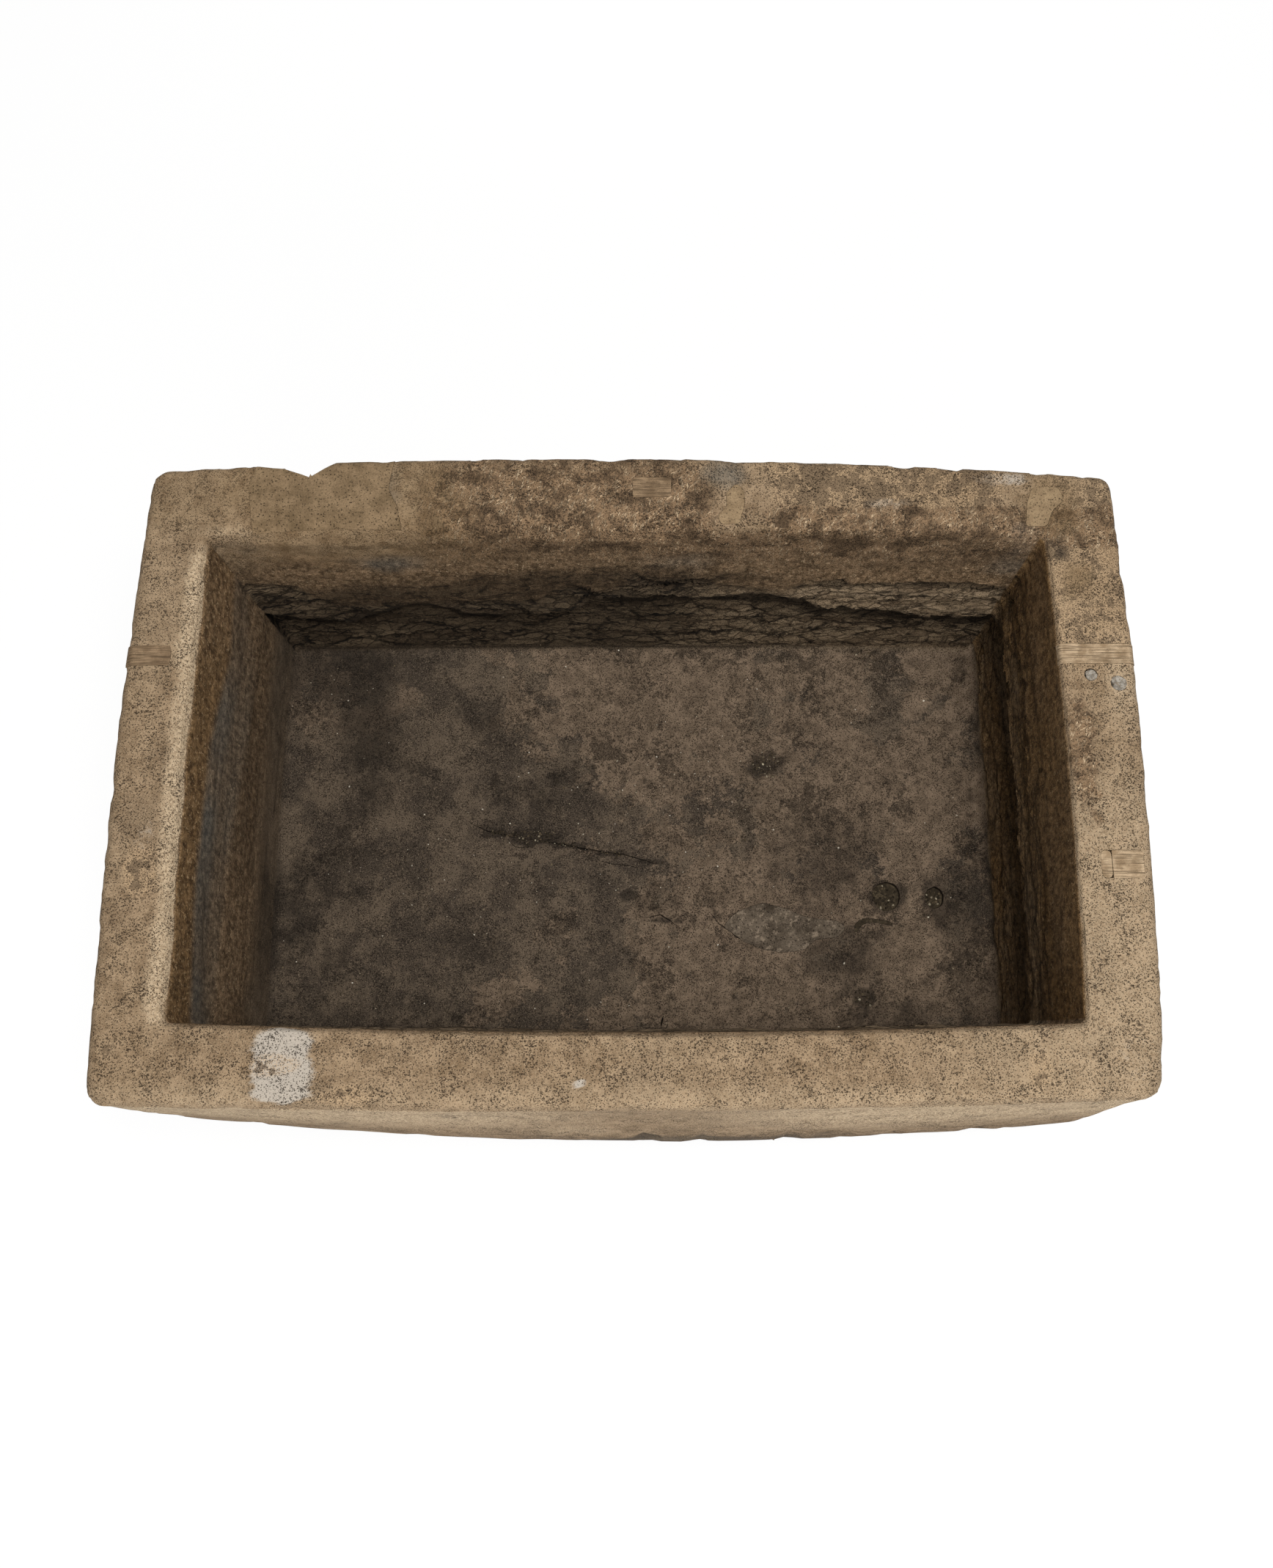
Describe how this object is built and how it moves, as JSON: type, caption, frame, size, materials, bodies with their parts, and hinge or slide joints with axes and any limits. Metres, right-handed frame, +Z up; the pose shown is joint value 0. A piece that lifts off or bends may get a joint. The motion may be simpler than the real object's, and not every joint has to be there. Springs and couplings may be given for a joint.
{
  "type": "stone trough sink",
  "caption": "Deep rectangular trough sink hewn from a single block of stone, with a broad flat rim, old mortar repairs, lead dowel plugs and a stopped drain hole.",
  "frame": {"origin": "middle of the underside, between the block's square corners", "axes": "+X along the block's length to the right, +Y from the front rim to the back rim, +Z up out of the basin"},
  "size_m": [1.1587, 0.7855, 0.4208],
  "materials": {
    "trough_stone": "rough, weathered and porous, darker inside the basin",
    "gravel_mortar": "coarse dark mortar with grit",
    "grey_mortar": "smooth grey mortar, worn",
    "combed_mortar": "pale lime mortar, combed",
    "ochre_mortar": "smooth ochre lime mortar",
    "lead": "dull grey lead"
  },
  "bodies": {
    "root": {"trough_block": "trough_stone", "drain_hole_mortar": "gravel_mortar", "floor_pit_mortar": "gravel_mortar", "floor_mortar_patch": "grey_mortar", "floor_seam_mortar": "gravel_mortar", "right_rim_combed_mortar": "combed_mortar", "right_rim_squared_mortar": "combed_mortar", "left_rim_combed_mortar": "combed_mortar", "back_rim_combed_mortar": "combed_mortar", "back_rim_notch_mortar": "ochre_mortar", "back_rim_middle_mortar": "ochre_mortar", "back_rim_corner_mortar": "ochre_mortar", "inner_lead_plug": "lead", "outer_lead_plug": "lead"}
  },
  "joints": []
}
